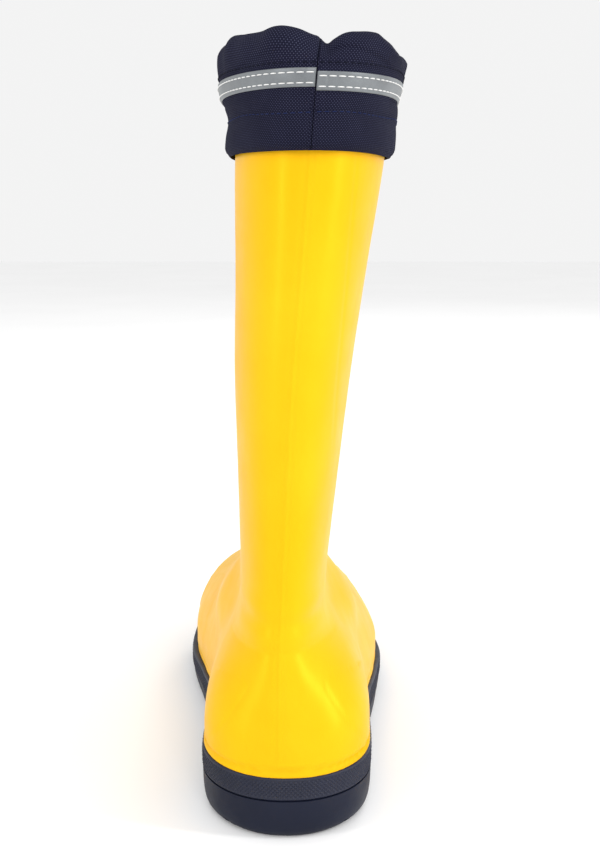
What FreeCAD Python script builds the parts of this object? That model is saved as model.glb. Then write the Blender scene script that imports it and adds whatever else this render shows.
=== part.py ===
# Deck boot, right foot: rubber boot with a textile gaiter at the top of its shaft.
# Row frame in millimetres: +Z up, toe towards +Y, big-toe side towards -X, sole on z = 0.
import FreeCAD, Part
import math
import os
from FreeCAD import Placement, Rotation, Vector

doc = FreeCAD.newDocument("DeckBoot")
sheet = doc.addObject("Spreadsheet::Sheet", "Sizes")

# ---------------------------------------------------------------- driving dimensions
# Foot stations run from the heel's back edge (pos 0) to the toe. medial and lateral are the
# two edges of the sole, sole_top is the upper face of the outsole, roof is the top of the
# upper, belt is the height where the upper is widest, power shapes the section above the
# belt (2 is round, 1 is tent-shaped), inset is how far the upper stands in from the sole.
FOOT_NAMES = ["pos", "medial", "lateral", "sole_top", "roof", "belt", "power", "inset", "band", "tread"]
FOOT_ROWS = [
    [0.0, -36.8, 36.8, 18.5, 70.0, 36.0, 2.6, 0.9, 11.0, 0.0],
    [48.0, -40.3, 40.0, 18.5, 78.0, 36.0, 2.4, 0.9, 11.0, 0.0],
    [100.0, -39.6, 41.8, 17.5, 84.0, 34.0, 1.7, 1.5, 10.4, 0.0],
    [150.0, -48.4, 48.8, 13.0, 86.0, 32.0, 1.25, 2.3, 9.6, 0.0],
    [200.0, -58.0, 53.2, 9.7, 76.5, 30.0, 1.1, 2.8, 9.0, 0.0],
    [250.0, -57.8, 45.2, 10.3, 67.0, 31.0, 1.4, 2.8, 9.0, 1.2],
    [300.0, -50.0, 28.0, 18.5, 57.0, 36.0, 2.0, 2.4, 9.0, 9.0],
]
# Shaft levels: height, half width across, sideways lean of the centre, back and front edges.
SHAFT_NAMES = ["level", "half", "lean", "back", "front"]
SHAFT_ROWS = [
    [40.0, 19.0, -3.4, 6.0, 126.0],
    [90.0, 19.8, -2.6, 9.5, 126.0],
    [122.0, 21.3, -1.2, 10.0, 128.0],
    [155.0, 23.6, 0.35, 8.0, 132.0],
    [202.0, 27.1, 2.6, 5.0, 139.5],
    [250.0, 30.3, 6.5, 3.0, 147.0],
    [300.0, 34.2, 10.4, 1.5, 154.0],
    [330.0, 35.2, 12.7, 1.0, 156.5],
    [380.0, 36.5, 16.7, 0.5, 159.0],
]
# Gaiter levels: height and half width across its outer face.
GAITER_ROWS = [
    [298.0, 37.9],
    [301.0, 38.5],
    [308.0, 38.9],
    [315.0, 38.5],
    [323.0, 40.4],
    [331.0, 42.4],
    [340.0, 43.3],
    [349.0, 41.6],
]
OTHER_SIZES = [
    ("heel_cap", 42.0, "length over which the heel end rounds off"),
    ("toe_cap", 66.0, "length over which the toe end rounds off"),
    ("tray_floor", 2.5, "sole band's floor under the upper"),
    ("shell_wall", 2.2, "rubber upper wall"),
    ("flex_start", 230.05, "back edge of the sole's flex groove at the ball"),
    ("flex_end", 234.05, "front edge of the flex groove"),
    ("flex_deep", 5.0, "top of the flex groove over the ground"),
    ("turned_edge", 20.0, "sole edge to the inner end of the upper's turned-in edge"),
    ("stiffener_wall", 0.9, "toe puff and heel counter wall"),
    ("lining_wall", 1.2, "textile lining wall"),
    ("board_thick", 1.6, "insole board"),
    ("foam_thick", 4.6, "footbed foam"),
    ("cover_thick", 1.0, "footbed top cover"),
    ("footbed_margin", 2.6, "footbed's clearance to the lining"),
    ("rim_height", 330.0, "top edge of the rubber shaft"),
    ("binding_drop", 8.0, "how far the rim binding reaches down the shaft"),
    ("binding_wall", 0.6, "rim binding cloth"),
    ("fold_height", 299.5, "lower fold of the gaiter"),
    ("cloth", 0.8, "gaiter cloth"),
    ("sleeve_top", 335.0, "upper edge of the gaiter sleeve"),
    ("hem_top", 347.0, "top of the gaiter's hem tunnel"),
    ("hem_wall", 3.6, "gathered hem tunnel, through its thickness"),
    ("tape_low", 323.3, "lower edge of the tape at the back"),
    ("tape_wide", 7.8, "tape width"),
    ("tape_thick", 0.5, "tape thickness"),
    ("ridge_shift", 3.0, "how far the top of the vamp leans to the big-toe side"),
    ("tuck_height", 314.6, "height of the tuck line around the gaiter"),
    ("thread", 0.45, "sewing thread"),
    ("seam_wide", 3.0, "gaiter back seam"),
    ("eyelet_radius", 4.0, "hem eyelet flange radius"),
    ("eyelet_hole", 2.2, "hem eyelet hole radius"),
    ("eyelet_flange", 0.8, "hem eyelet flange thickness"),
    ("eyelet_spread", 14.0, "hem eyelets, distance from the front centre"),
    ("slab_width", 140.0, "width of the cutting slabs"),
    ("puff_start", 246.0, "back edge of the toe puff"),
    ("counter_reach", 66.0, "front edge of the heel counter"),
    ("counter_low", 30.0, "lower edge of the heel counter"),
    ("counter_high", 74.0, "upper edge of the heel counter"),
    ("waist_back", 92.0, "front face of the heel block"),
    ("waist_front", 128.0, "where the waist meets the forefoot tread"),
    ("waist_rise", 8.5, "height of the waist over the ground"),
    ("groove_wide", 3.2, "tread channel width"),
    ("groove_deep", 3.5, "tread channel depth"),
    ("groove_pitch", 17.0, "tread channel spacing"),
    ("reach_over", 43.4, "how much longer than wide the gaiter's oval is, half to half"),
    ("origin_shift", 146.05, "row origin, forward of the heel's back edge"),
    ("side_shift", -1.106, "row origin, sideways from the heel's centre line"),
]

row = 1


def put(alias, number, note):
    """Write one driving dimension into the sheet under its alias."""
    global row
    sheet.set("A%d" % row, alias)
    sheet.set("B%d" % row, str(number))
    sheet.set("C%d" % row, note)
    sheet.setAlias("B%d" % row, alias)
    row += 1


for count, values in enumerate(FOOT_ROWS):
    for name, number in zip(FOOT_NAMES, values):
        put("foot%s_%s" % ("abcdefghij"[count], name), number, "foot station")
for count, values in enumerate(SHAFT_ROWS):
    for name, number in zip(SHAFT_NAMES, values):
        put("shaft%s_%s" % ("abcdefghij"[count], name), number, "shaft level")
for count, values in enumerate(GAITER_ROWS):
    for name, number in zip(("level", "half"), values):
        put("gaiter%s_%s" % ("abcdefgh"[count], name), number, "gaiter level")
for alias, number, note in OTHER_SIZES:
    put(alias, number, note)
doc.recompute()


def size(alias):
    """Read one driving dimension back from the sheet."""
    return float(sheet.get(alias))


# ---------------------------------------------------------------- smooth curves over the stations
class Curve:
    """A smooth curve through the stations, flat where two neighbours are equal."""

    def __init__(self, knots, values):
        self.knots = knots
        self.values = values
        count = len(knots)
        spans = [knots[i + 1] - knots[i] for i in range(count - 1)]
        rates = [(values[i + 1] - values[i]) / spans[i] for i in range(count - 1)]
        slopes = [rates[0]] + [0.0] * (count - 2) + [rates[-1]]
        for i in range(1, count - 1):
            both = spans[i - 1] + spans[i]
            slopes[i] = (rates[i - 1] * spans[i] + rates[i] * spans[i - 1]) / both
        for i in range(count - 1):
            if abs(rates[i]) < 1e-9:
                slopes[i] = 0.0
                slopes[i + 1] = 0.0
        self.slopes = slopes

    def __call__(self, place):
        knots = self.knots
        i = 0
        while i < len(knots) - 2 and place > knots[i + 1]:
            i += 1
        span = knots[i + 1] - knots[i]
        t = min(1.0, max(0.0, (place - knots[i]) / span))
        low = (1 + 2 * t) * (1 - t) ** 2 * self.values[i]
        low += t * (1 - t) ** 2 * span * self.slopes[i]
        high = t * t * (3 - 2 * t) * self.values[i + 1]
        high += t * t * (t - 1) * span * self.slopes[i + 1]
        return low + high


def stations(prefix, count, key, name):
    """Make the curve of one column over its station column."""
    letters = "abcdefghij"[:count]
    knots = [size("%s%s_%s" % (prefix, letter, key)) for letter in letters]
    values = [size("%s%s_%s" % (prefix, letter, name)) for letter in letters]
    return Curve(knots, values)


medial = stations("foot", 7, "pos", "medial")
lateral = stations("foot", 7, "pos", "lateral")
sole_top = stations("foot", 7, "pos", "sole_top")
roof = stations("foot", 7, "pos", "roof")
belt = stations("foot", 7, "pos", "belt")
power = stations("foot", 7, "pos", "power")
inset = stations("foot", 7, "pos", "inset")
band = stations("foot", 7, "pos", "band")
tread = stations("foot", 7, "pos", "tread")
half = stations("shaft", 9, "level", "half")
lean = stations("shaft", 9, "level", "lean")
back = stations("shaft", 9, "level", "back")
front = stations("shaft", 9, "level", "front")

LENGTH = size("footg_pos")
HEEL_CAP = size("heel_cap")
TOE_CAP = size("toe_cap")
TRAY = size("tray_floor")
RIM = size("rim_height")
RIDGE = size("ridge_shift")
EDGE_POWER = 2.15


# ---------------------------------------------------------------- the boot's outer surface
# depth() is roughly how far a point lies inside the boot's outer surface, in millimetres.
# It joins a foot form and a shaft form with a soft corner between them.
def foot_depth(x, y, z):
    """Depth inside the foot form."""
    low_end = 0.9
    high_end = LENGTH - 2.4
    heel = max(0.0, (low_end + HEEL_CAP - y) / HEEL_CAP)
    toe = max(0.0, (y - high_end + TOE_CAP) / TOE_CAP)
    wide = (lateral(y) - medial(y)) / 2 - inset(y)
    middle = (lateral(y) + medial(y)) / 2
    waist = belt(y)
    if z > waist:
        tall = roof(y) - waist
        bend = power(y)
        v = (z - waist) / tall
        middle -= RIDGE * min(v, 1.0) * min(1.0, max(0.0, (y - 60.0) / 60.0))
    else:
        tall = waist - sole_top(y) - TRAY
        bend = 5.0
        v = (waist - z) / tall
    v = math.sqrt(v * v + 0.01) - 0.1
    u = abs(x - middle) / wide
    total = u ** EDGE_POWER + v ** bend + heel ** 2.3 + toe ** 2.5
    slope_x = EDGE_POWER * u ** (EDGE_POWER - 1) / wide
    slope_z = bend * v ** (bend - 1) / tall if v > 1e-6 else 0.0
    slope_y = 2.3 * heel ** 1.3 / HEEL_CAP + 2.5 * toe ** 1.5 / TOE_CAP
    steep = math.sqrt(slope_x ** 2 + slope_y ** 2 + slope_z ** 2)
    return max(-60.0, min(60.0, (1 - total) / max(steep, 0.004)))


def shaft_depth(x, y, z):
    """Depth inside the shaft form."""
    reach = (front(z) - back(z)) / 2
    centre = (front(z) + back(z)) / 2
    below = max(0.0, (70 - z) / 45)
    u = abs(x - lean(z)) / half(z)
    w = abs(y - centre) / reach
    total = u ** EDGE_POWER + w ** EDGE_POWER + below ** 2
    slope_x = EDGE_POWER * u ** (EDGE_POWER - 1) / half(z)
    slope_y = EDGE_POWER * w ** (EDGE_POWER - 1) / reach
    slope_z = 2 * below / 45
    steep = math.sqrt(slope_x ** 2 + slope_y ** 2 + slope_z ** 2)
    return max(-60.0, min(60.0, (1 - total) / max(steep, 0.004)))


def depth(x, y, z):
    """Depth inside the whole boot. The corner is small at the heel and wide at the instep."""
    foot = foot_depth(x, y, z)
    shaft = shaft_depth(x, y, z)
    t = min(1.0, max(0.0, (y - 70.0) / 60.0))
    up = min(1.0, max(0.0, (z - 40.0) / 30.0))
    corner = 2.0 + (10.0 + 30.0 * t * t * (3 - 2 * t)) * up * up * (3 - 2 * up)
    near = max(corner - abs(foot - shaft), 0.0) / corner
    return max(foot, shaft) + near * near * corner / 4


# Rings of points are cut by planes that all hold the X direction: upright planes in the
# forefoot, planes that fan around the instep at the ankle, and level planes in the shaft.
FAN_Y = 152.0
FAN_Z = 116.0
AROUND = 44


def ring_planes(wall, top):
    """Centre (y, z), in-plane direction (y, z) and side stretch of every ring."""
    planes = []
    tip = LENGTH - 2.4 - wall * 1.1
    for step in range(17):
        s = (0.6 + step) / 17.6
        y = tip - (1 - math.cos(s * math.pi / 2)) * (tip - FAN_Y)
        planes.append(((y, 37.0 + 3.0 * min(1.0, s * 2)), (0.0, 1.0), 1.3))
    for step in range(24):
        angle = math.pi / 2 * step / 24
        radius = 76.0 - 4.0 * step / 24
        centre = (FAN_Y - radius * math.sin(angle), FAN_Z - radius * math.cos(angle))
        stretch = 1.3 - 0.7 * step / 24
        planes.append((centre, (math.sin(angle), math.cos(angle)), stretch))
    for step in range(14):
        z = FAN_Z + (top - FAN_Z) * step / 13
        planes.append((((front(z) + back(z)) / 2, z), (1.0, 0.0), 0.6))
    return planes


def ring_points(plane, wall):
    """Points where the ring's rays reach the given depth."""
    (centre_y, centre_z), (along_y, along_z), stretch = plane
    level = along_y * along_y
    upright = (medial(centre_y) + lateral(centre_y)) / 2
    centre_x = level * lean(max(centre_z, 60.0)) + (1 - level) * upright
    points = []
    for count in range(AROUND):
        angle = 2 * math.pi * count / AROUND - math.pi / 2
        side = stretch * math.cos(angle)
        rise = math.sin(angle)
        size_of = math.hypot(side, rise)
        side /= size_of
        rise /= size_of
        near = 0.0
        far = 2.0
        while far < 170.0:
            where = (centre_x + side * far, centre_y + rise * along_y * far, centre_z + rise * along_z * far)
            if depth(*where) < wall:
                break
            near = far
            far += 5.0
        for _ in range(14):
            middle = (near + far) / 2
            where = (centre_x + side * middle, centre_y + rise * along_y * middle,
                     centre_z + rise * along_z * middle)
            if depth(*where) > wall:
                near = middle
            else:
                far = middle
        points.append(Vector(centre_x + side * near, centre_y + rise * along_y * near,
                             centre_z + rise * along_z * near))
    return points


# ---------------------------------------------------------------- solids from rings
def sharpen(rings):
    """Move the control points outwards so that the smooth surface passes near the rings."""
    count = len(rings)
    around = len(rings[0])
    result = []
    for i in range(count):
        line = []
        for j in range(around):
            here = rings[i][j]
            left = rings[i][(j - 1) % around]
            right = rings[i][(j + 1) % around]
            change = (here * 2 - left - right) * (1.0 / 6)
            if 2 <= i < count - 2:
                change = change + (here * 2 - rings[i - 1][j] - rings[i + 1][j]) * (1.0 / 6)
            if change.Length > 0.6:
                change = change * (0.6 / change.Length)
            line.append(here + change)
        result.append(line)
    return result


def ring_solid(rings):
    """A closed solid: a smooth side through the rings and a flat cap at each end."""
    poles = sharpen(rings)
    count = len(poles)
    around = len(poles[0])
    surface = Part.BSplineSurface()
    along_knots = [float(i) for i in range(count - 2)]
    along_mults = [4] + [1] * (count - 4) + [4]
    round_knots = [float(i) for i in range(around + 1)]
    round_mults = [1] * (around + 1)
    surface.buildFromPolesMultsKnots(poles, along_mults, round_mults, along_knots, round_knots,
                                     False, True, 3, 3)
    side = surface.toShape()
    faces = [side]
    for edge in side.Edges:
        if edge.isClosed() and edge.isSeam(side) is False:
            faces.append(Part.Face(Part.Wire([edge])))
    shell = Part.makeShell(faces)
    shell.sewShape()
    solid = Part.Solid(shell)
    if solid.Volume < 0:
        solid.reverse()
    return solid


def place(item):
    """Move an object from heel-edge coordinates to the row frame."""
    item.Placement = Placement(Vector(-size("side_shift"), -size("origin_shift"), 0), Rotation())


def feature(name, shape):
    """A document object for a shape that only Part's own functions can make."""
    item = doc.addObject("Part::Feature", name)
    item.Shape = shape
    place(item)
    return item


def cut(name, base, tool):
    """base minus tool."""
    item = doc.addObject("Part::Cut", name)
    item.Base = base
    item.Tool = tool
    return item


def common(name, base, tool):
    """What base and tool share."""
    item = doc.addObject("Part::Common", name)
    item.Base = base
    item.Tool = tool
    return item


def inside(name, wall, top):
    """The boot's whole volume inside the given depth, up to the given height."""
    return feature(name, ring_solid([ring_points(plane, wall) for plane in ring_planes(wall, top)]))


def shaft_rings(name, wall, low, high):
    """The shaft's volume inside the given depth, between two heights."""
    rings = []
    for step in range(7):
        z = low + (high - low) * step / 6
        plane = (((front(z) + back(z)) / 2, z), (1.0, 0.0), 0.6)
        rings.append(ring_points(plane, wall))
    return feature(name, ring_solid(rings))


# ---------------------------------------------------------------- outlines and slabs of the sole
def outline(grow, z):
    """Ring of the sole's outline, moved outwards by grow, at height z."""
    points = []
    low = -grow
    high = LENGTH + grow
    for count in range(80):
        angle = 2 * math.pi * (count + 0.5) / 80
        y = low + (high - low) * (1 - math.cos(angle)) / 2
        heel = max(0.0, (low + HEEL_CAP - y) / HEEL_CAP)
        toe = max(0.0, (y - high + TOE_CAP) / TOE_CAP)
        share = max(0.0, 1 - heel ** 2.3 - toe ** 2.5) ** (1 / EDGE_POWER)
        held = min(LENGTH, max(0.0, y))
        wide = ((lateral(held) - medial(held)) / 2 + grow) * share
        middle = (lateral(held) + medial(held)) / 2
        side = 1.0 if angle < math.pi else -1.0
        points.append(Vector(middle + side * wide, y, z))
    return points


def outline_block(name, levels):
    """Solid through outlines given as (height, grow) pairs."""
    return feature(name, ring_solid([outline(grow, z) for z, grow in levels]))


def side_slab(name, lower, upper, corners=None):
    """PartDesign body: a slab between two height curves, padded across the boot.

    corners, when given, are the places where straight runs of the lower edge meet.
    """
    body = doc.addObject("PartDesign::Body", name)
    plane = [item for item in body.Origin.OriginFeatures if item.Role == "YZ_Plane"][0]
    sketch = body.newObject("Sketcher::SketchObject", name + "Profile")
    sketch.AttachmentSupport = [(plane, "")]
    sketch.MapMode = "FlatFace"
    ends = []
    first = -12.0
    last = LENGTH + 12.0
    for curve in (lower, upper):
        points = []
        if corners and curve is lower:
            points = [Vector(y, curve(min(LENGTH, max(0.0, y))), 0) for y in [first] + corners + [last]]
            for start, stop in zip(points[:-1], points[1:]):
                sketch.addGeometry(Part.LineSegment(start, stop), False)
            ends.append((points[0], points[-1]))
            continue
        for step in range(55):
            y = first + (last - first) * step / 54
            points.append(Vector(y, curve(min(LENGTH, max(0.0, y))), 0))
        line = Part.BSplineCurve()
        line.interpolate(points)
        sketch.addGeometry(line, False)
        ends.append((points[0], points[-1]))
    sketch.addGeometry(Part.LineSegment(ends[0][0], ends[1][0]), False)
    sketch.addGeometry(Part.LineSegment(ends[0][1], ends[1][1]), False)
    pad = body.newObject("PartDesign::Pad", name + "Pad")
    pad.Profile = sketch
    pad.Midplane = True
    pad.setExpression("Length", "Sizes.slab_width")
    body.Tip = pad
    place(body)
    return body


def bounds_box(name, low, high):
    """A box between two corners whose three sizes come from sheet expressions."""
    item = doc.addObject("Part::Box", name)
    for side, first, last in zip(("Length", "Width", "Height"), low, high):
        item.setExpression(side, "(%s) - (%s)" % (last, first))
    corner = Vector(*[cell_sum(text) for text in low])
    item.Placement = Placement(corner - Vector(size("side_shift"), size("origin_shift"), 0), Rotation())
    return item


def cell_sum(text):
    """Work out a short sum of sheet cells and numbers."""
    total = 0.0
    for part in text.split(" + "):
        total += size(part[6:]) if part.startswith("Sizes.") else float(part)
    return total


def raised(curve, lift):
    """The same curve, higher by lift."""
    return lambda y: curve(y) + lift


nodes = {}


def node(name, item):
    """Register a finished sub-part under its own label."""
    item.Label = name
    nodes[name] = item
    return item


# ---------------------------------------------------------------- outsole
def underside(y):
    """Tread height: flat heel, raised waist with soft ends, flat forefoot, toe spring."""
    start = size("waist_back")
    stop = size("waist_front")
    rise = size("waist_rise")
    if y < start or y > stop + 12.0:
        return max(0.0, tread(y))
    if y < start + 5.0:
        return rise * (y - start) / 5.0
    if y < stop - 12.0:
        return rise
    t = (stop + 12.0 - y) / 24.0
    return rise * t * t * (3 - 2 * t)


def tread_channels(body, name, first, number):
    """Cut a row of channels across the tread with a patterned pocket."""
    plane = [item for item in body.Origin.OriginFeatures if item.Role == "YZ_Plane"][0]
    sketch = body.newObject("Sketcher::SketchObject", name)
    sketch.AttachmentSupport = [(plane, "")]
    sketch.MapMode = "FlatFace"
    wide = size("groove_wide")
    deep = size("groove_deep")
    corners = [Vector(first, -6, 0), Vector(first + wide, -6, 0),
               Vector(first + wide, deep, 0), Vector(first, deep, 0)]
    for count in range(4):
        sketch.addGeometry(Part.LineSegment(corners[count], corners[(count + 1) % 4]), False)
    pocket = body.newObject("PartDesign::Pocket", name + "Pocket")
    pocket.Profile = sketch
    pocket.Midplane = True
    pocket.setExpression("Length", "Sizes.slab_width")
    body.Tip = pocket
    doc.recompute()
    pattern = body.newObject("PartDesign::LinearPattern", name + "Pattern")
    pattern.Originals = [pocket]
    axis = [item for item in body.Origin.OriginFeatures if item.Role == "Y_Axis"][0]
    pattern.Direction = (axis, [""])
    pattern.Occurrences = number
    pattern.setExpression("Length", "Sizes.groove_pitch * %d" % (number - 1))
    body.Tip = pattern
    doc.recompute()


waist_low = size("waist_back")
waist_high = size("waist_front")
turns = [waist_low, waist_low + 5.0]
turns += [waist_high - 12.0 + 2.0 * step for step in range(13)]
turns += [205.0 + 5.0 * step for step in range(20)]
sole_slab = side_slab("SoleSlab", underside, sole_top, turns)
doc.recompute()
whole = sole_slab.Shape.Volume
tread_channels(sole_slab, "HeelChannels", 13.0, 5)
tread_channels(sole_slab, "ForefootChannels", 146.0, 5)
if sole_slab.Shape.Volume > whole - 1000:
    raise RuntimeError("the tread channels cut nothing")
sole_block = outline_block("SoleBlock", [(-1.0, -6.6), (0.0, -5.2), (1.0, -3.7), (2.6, -2.1), (5.2, -1.0),
                                         (10.0, -0.3), (18.0, 0.0), (30.0, 0.0), (45.0, 0.0)])
flex_groove = bounds_box("FlexGroove", ("-90", "Sizes.flex_start", "-1"),
                         ("90", "Sizes.flex_end", "Sizes.flex_deep"))
node("outsole", cut("Outsole", common("SoleForm", sole_slab, sole_block), flex_groove))

# ---------------------------------------------------------------- upper, band and lining
shell_wall = size("shell_wall")
lining_wall = size("lining_wall")
stiff = size("stiffener_wall")
layer = shell_wall + 0.05

# The upper's edge is turned in under the insole, so its floor is open in the middle.
floor_slab = side_slab("FloorSlab", raised(sole_top, -3.0), raised(sole_top, TRAY + shell_wall + 6.0))


def floor_window(name, turned):
    """The middle of the upper's floor, this far in from the sole's edge."""
    block = outline_block(name + "Block", [(z, -turned) for z in (5.0, 20.0, 40.0, 60.0)])
    return common(name, floor_slab, block)


turned = size("turned_edge")
outer = inside("UpperOuter", 0.0, RIM)
closed_shell = cut("ClosedShell", outer, inside("UpperInner", shell_wall, RIM + 6))
node("boot_shell", cut("BootShell", closed_shell, floor_window("FloorWindow", turned)))

# The sole band's floor rises to fill the opening between the turned-in edges.
floor_skin = cut("FloorSkin", inside("FloorSkinOuter", -0.2, 200.0),
                 inside("FloorSkinInner", shell_wall - 0.05, 206.0))
filler = common("Filler", floor_skin, floor_window("FillerWindow", turned + 0.1))
upper_room = cut("UpperRoom", inside("UpperRoomFull", -0.03, 200.0), filler)
band_slab = side_slab("BandSlab", sole_top, lambda y: sole_top(y) + band(y))
band_block = outline_block("BandBlock", [(0.0, 0.0), (10.0, 0.0), (20.0, 0.0), (30.0, -0.1), (40.0, -0.2)])
band_ring = common("BandRing", band_slab, band_block)
node("foxing_band", cut("FoxingBand", band_ring, upper_room))

stiff_outer = inside("StiffenerOuter", layer, RIM - 100)
stiff_inner = inside("StiffenerInner", layer + stiff, RIM - 90)
stiff_skin = cut("StiffenerSkin", stiff_outer, stiff_inner)

puff_box = bounds_box("PuffBox", ("-90", "Sizes.puff_start", "0"), ("90", "320", "90"))
puff_room_box = bounds_box("PuffRoomBox", ("-90", "Sizes.puff_start + -0.2", "0"), ("90", "320", "90"))
counter_box = bounds_box("CounterBox", ("-90", "-20", "Sizes.counter_low"),
                         ("90", "Sizes.counter_reach", "Sizes.counter_high"))
counter_room_box = bounds_box("CounterRoomBox", ("-90", "-20", "Sizes.counter_low + -0.2"),
                              ("90", "Sizes.counter_reach + 0.2", "Sizes.counter_high + 0.2"))
node("toe_puff", common("ToePuff", stiff_skin, puff_box))
node("heel_counter", common("HeelCounter", stiff_skin, counter_box))
room_skin = cut("RoomSkin", inside("RoomOuter", layer - 0.5, RIM - 80),
                inside("RoomInner", layer + stiff + 0.05, RIM - 70))
puff_room = common("PuffRoom", room_skin, puff_room_box)
counter_room = common("CounterRoom", room_skin, counter_room_box)
lining_skin = cut("LiningSkin", inside("LiningOuter", layer, RIM),
                  inside("LiningInner", layer + lining_wall + 0.6, RIM + 6))
lining_open = cut("LiningOpen", lining_skin, puff_room)
node("lining_sock", cut("LiningSock", lining_open, counter_room))

# ---------------------------------------------------------------- insole board and footbed
lining_face = layer + lining_wall + 0.6
room = inside("FootRoom", lining_face + 0.1, 200.0)
floor_lift = TRAY + lining_face + 0.1
board_top = floor_lift + size("board_thick")
board_slab = side_slab("BoardSlab", raised(sole_top, floor_lift - 4.0), raised(sole_top, board_top))
node("insole_board", common("InsoleBoard", board_slab, room))
margin = -(2.8 + lining_face + size("footbed_margin"))
foot_block = outline_block("FootbedBlock", [(5.0, margin), (20.0, margin), (40.0, margin),
                                            (60.0, margin), (80.0, margin)])
foam_low = board_top + 0.35
foam_high = foam_low + size("foam_thick")
foam_slab = side_slab("FoamSlab", raised(sole_top, foam_low), raised(sole_top, foam_high))
cover_slab = side_slab("CoverSlab", raised(sole_top, foam_high + 0.02),
                       raised(sole_top, foam_high + size("cover_thick")))
foam_edge = common("FoamEdge", foam_slab, foot_block)
node("footbed_foam", common("FootbedFoam", foam_edge, inside("FoamRoom", lining_face + 0.5, 200.0)))
node("footbed_cover", common("FootbedCover", cover_slab, foot_block))

# ---------------------------------------------------------------- rim binding and hidden gaiter layer
drop = size("binding_drop")
binding = size("binding_wall")
binding_outer = shaft_rings("BindingOuter", -binding, RIM - drop, RIM + binding)
binding_inner = shaft_rings("BindingInner", lining_face + binding, RIM - drop - 1, RIM + 2)
layers_outer = shaft_rings("LayersOuter", -0.03, RIM - drop - 1, RIM + 0.03)
layers_inner = shaft_rings("LayersInner", lining_face + 0.03, RIM - drop - 2, RIM + 1)
wall_room = cut("WallRoom", layers_outer, layers_inner)
binding_tube = cut("BindingTube", binding_outer, binding_inner)
node("shaft_rim_binding", cut("RimBinding", binding_tube, wall_room))

fold = size("fold_height")
cloth = size("cloth")
under_face = binding + 0.15
under = cut("UnderTube", shaft_rings("UnderOuter", -(under_face + cloth - 0.1), fold + 1.0, RIM - 1.0),
            shaft_rings("UnderInner", -under_face, fold + 0.5, RIM + 0.5))
node("gaiter_underlayer", under)
thread = size("thread")
sewn = under_face + cloth - 0.1
node("attachment_stitches",
     cut("AttachmentStitches", shaft_rings("AttachOuter", -(sewn + 0.3), RIM - 4.5, RIM - 4.0),
         shaft_rings("AttachInner", -(sewn + 0.03), RIM - 6.0, RIM - 2.5)))

# ---------------------------------------------------------------- gaiter
sleeve_half = Curve([size("gaiter%s_level" % letter) for letter in "abcdefgh"],
                    [size("gaiter%s_half" % letter) for letter in "abcdefgh"])
REACH_OVER = size("reach_over")


def gaiter_ring(grow, z):
    """Oval ring on the gaiter's outer face, moved outwards by grow."""
    across = sleeve_half(z) + grow
    reach = sleeve_half(z) + REACH_OVER + grow
    middle = (front(z) + back(z)) / 2
    points = []
    for count in range(AROUND):
        angle = 2 * math.pi * count / AROUND - math.pi / 2
        c = math.cos(angle)
        s = math.sin(angle)
        x = across * math.copysign(abs(c) ** (2 / EDGE_POWER), c)
        y = reach * math.copysign(abs(s) ** (2 / EDGE_POWER), s)
        points.append(Vector(lean(z) + x, middle + y, z))
    return points


def gaiter_tube(name, outside, within, low, high):
    """Tube between two offsets of the gaiter's outer face."""
    skins = []
    for ending, grow, spare in (("Outer", outside, 0.0), ("Inner", within, 1.0)):
        rings = []
        count = max(7, int((high - low) / 1.5))
        for step in range(count + 1):
            z = low - spare + (high - low + 2 * spare) * step / count
            rings.append(gaiter_ring(grow, z))
        skins.append(feature(name + ending, ring_solid(rings)))
    return cut(name, skins[0], skins[1])


sleeve_top = size("sleeve_top")
tape_low = size("tape_low")
tape_high = tape_low + size("tape_wide")
tape_face = 0.03 + size("tape_thick")
node("gaiter_sleeve", gaiter_tube("Sleeve", 0.0, -cloth, fold, sleeve_top))
node("gaiter_hem", gaiter_tube("Hem", 0.0, -size("hem_wall"), sleeve_top + 0.1, size("hem_top")))
node("reflective_tape", gaiter_tube("Tape", tape_face, 0.03, tape_low, tape_high))
for name, z in (("tape_stitches_lower", tape_low + 1.7), ("tape_stitches_upper", tape_high - 1.7)):
    node(name, gaiter_tube("Row" + name[14:].title(), tape_face + 0.03 + thread, tape_face + 0.03,
                           z - thread / 2, z + thread / 2))
seam_skin = gaiter_tube("SeamSkin", 0.6, 0.02, fold + 0.6, sleeve_top)


def seam_bar(name, low, high):
    """A leaning bar at the back centre that cuts the seam strip out of its skin."""
    half_wide = size("seam_wide") / 2
    foot = [Vector(lean(low) - half_wide, -30, low), Vector(lean(low) + half_wide, -30, low),
            Vector(lean(high) + half_wide, -30, high), Vector(lean(high) - half_wide, -30, high)]
    wire = Part.makePolygon(foot + [foot[0]])
    return feature(name, Part.Face(wire).extrude(Vector(0, 60, 0)))


tuck_low = size("tuck_height")
hem_low = sleeve_top - 1.6
stops = [(fold, tuck_low - 0.2), (tuck_low + thread + 0.2, tape_low - 0.1), (tape_high + 0.1, hem_low - 0.2)]
strips = []
for count, (low, high) in enumerate(stops):
    strips.append(common("Seam%d" % (count + 1), seam_skin, seam_bar("SeamBar%d" % (count + 1), low, high)))
seam = doc.addObject("Part::Compound", "BackSeam")
seam.Links = strips
node("gaiter_back_seam", seam)
node("tuck_stitches", gaiter_tube("TuckRow", thread, 0.02, tuck_low, tuck_low + thread))
node("hem_stitches", gaiter_tube("HemRow", thread, 0.02, hem_low, hem_low + thread))

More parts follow.
